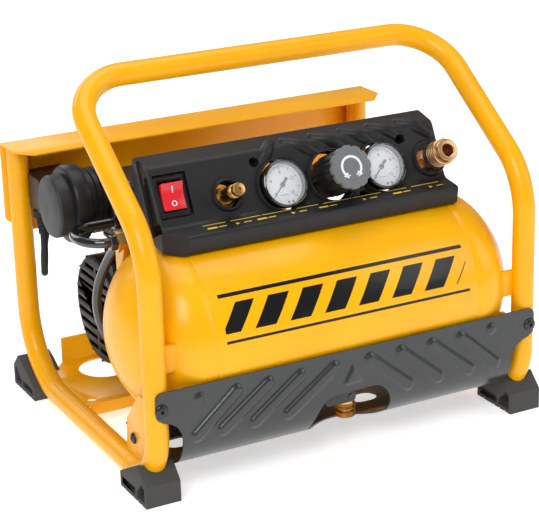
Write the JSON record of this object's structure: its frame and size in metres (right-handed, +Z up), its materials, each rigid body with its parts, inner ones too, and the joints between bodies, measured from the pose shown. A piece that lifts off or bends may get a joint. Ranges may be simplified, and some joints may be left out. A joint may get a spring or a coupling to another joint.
{
  "type": "air compressor",
  "caption": "Portable piston air compressor: a horizontal tank in a tube cage with a carrying bar, a sloped instrument panel, a pump behind the tank, a front guard and rubber feet.",
  "frame": {"origin": "on the floor, under the middle of the object's width and depth (cord and coil left out)", "axes": "+X to the right along the tank, seen from the instrument side; +Y back, from the instruments to the rear panel; +Z up"},
  "size_m": [0.372, 0.3987, 0.3173],
  "materials": {
    "yellow_paint": "gloss powder coat",
    "tank_paint": "gloss powder coat",
    "grey_paint": "satin powder coat",
    "motor_black": "satin black paint",
    "pipe_black": "gloss black coat",
    "foot_rubber": "moulded, matt",
    "cord_rubber": "smooth, matt",
    "screw_steel": "zinc plated",
    "shaft_steel": "ground",
    "cast_alloy": "die cast",
    "brass": "turned",
    "housing_plastic": "fine texture",
    "black_plastic": "satin",
    "grey_plastic": "satin",
    "rocker_red": "gloss",
    "dial_white": "printed card",
    "needle_black": "satin",
    "clear_lens": "clear"
  },
  "bodies": {
    "machine": {"front_hoop": "yellow_paint", "side_rail_left": "yellow_paint", "side_rail_right": "yellow_paint", "rear_panel": "yellow_paint", "base_plate": "yellow_paint", "gussets": "yellow_paint", "air_tank": "tank_paint", "tank_brackets": "yellow_paint", "front_guard": "grey_paint", "guard_screws": "screw_steel", "foot_front_left": "foot_rubber", "foot_front_right": "foot_rubber", "foot_rear_left": "foot_rubber", "foot_rear_right": "foot_rubber", "foot_screws": "screw_steel", "panel_housing": "housing_plastic", "panel_screws": "screw_steel", "mounting_plate": "motor_black", "switch_frame": "black_plastic", "regulator_body": "cast_alloy", "manifold": "cast_alloy", "safety_valve_body": "brass", "coupler_body": "brass", "drain_body": "brass", "filter_cap": "black_plastic", "filter_base": "black_plastic", "pump_head": "cast_alloy", "head_bolts": "screw_steel", "pump_cylinder": "cast_alloy", "crankcase": "cast_alloy", "motor_can": "motor_black", "motor_bearings": "shaft_steel", "motor_mounts": "foot_rubber", "fan_cover": "black_plastic", "discharge_pipe": "pipe_black", "check_valve": "brass", "transfer_tube": "pipe_black", "terminal_box": "black_plastic", "cord_gland": "cord_rubber", "cord_clip": "black_plastic", "power_cord": "cord_rubber", "cord_coil": "cord_rubber", "cord_tie": "black_plastic", "plug": "cord_rubber", "gauge_case_left": "motor_black", "gauge_case_right": "motor_black", "gauge_dials": "dial_white", "gauge_lenses": "clear_lens"},
    "rotor": {"motor_rotor": "shaft_steel", "crank": "shaft_steel", "fan_wheel": "black_plastic"},
    "piston": {"piston_rod": "cast_alloy"},
    "rocker": {"switch_rocker": "rocker_red"},
    "knob": {"regulator_knob": "black_plastic", "regulator_cap": "grey_plastic"},
    "needle_left": {"gauge_needle_left": "needle_black"},
    "needle_right": {"gauge_needle_right": "needle_black"},
    "valve_pull": {"safety_valve_pull": "brass"},
    "sleeve": {"coupler_sleeve": "brass"},
    "drain_tap": {"drain_lever": "motor_black"}
  },
  "joints": [
    {"name": "rotor_spin", "type": "hinge", "parent": "machine", "child": "rotor", "pos_m": [0, 0.04535, 0.092], "axis": [1, 0, 0], "continuous": true},
    {"name": "piston_stroke", "type": "slide", "parent": "machine", "child": "piston", "axis": [0, 0, 1], "range_m": [-0.006, 0.006]},
    {"name": "rocker_tip", "type": "hinge", "parent": "machine", "child": "rocker", "pos_m": [-0.118, -0.07644, 0.22337], "axis": [1, 0, 0], "range_deg": [-16, 0]},
    {"name": "knob_turn", "type": "hinge", "parent": "machine", "child": "knob", "pos_m": [0.0241, -0.08176, 0.21818], "axis": [0, -0.8988, 0.4384], "range_deg": [0, 270]},
    {"name": "needle_left_turn", "type": "hinge", "parent": "machine", "child": "needle_left", "pos_m": [-0.0225, -0.08176, 0.21818], "axis": [0, 0.8988, -0.4384], "range_deg": [0, 270]},
    {"name": "needle_right_turn", "type": "hinge", "parent": "machine", "child": "needle_right", "pos_m": [0.0707, -0.08176, 0.21818], "axis": [0, 0.8988, -0.4384], "range_deg": [0, 270]},
    {"name": "valve_pull_slide", "type": "slide", "parent": "machine", "child": "valve_pull", "axis": [0, -0.8988, 0.4384], "range_m": [0, 0.002], "stiffness_N_per_m": 800, "springref_m": -0.002},
    {"name": "sleeve_slide", "type": "slide", "parent": "machine", "child": "sleeve", "axis": [0, 0.8988, -0.4384], "range_m": [0, 0.003], "stiffness_N_per_m": 1200, "springref_m": -0.002},
    {"name": "drain_turn", "type": "hinge", "parent": "machine", "child": "drain_tap", "pos_m": [0.008, -0.12465, 0.045], "axis": [0, -1, 0], "range_deg": [0, 90]}
  ]
}
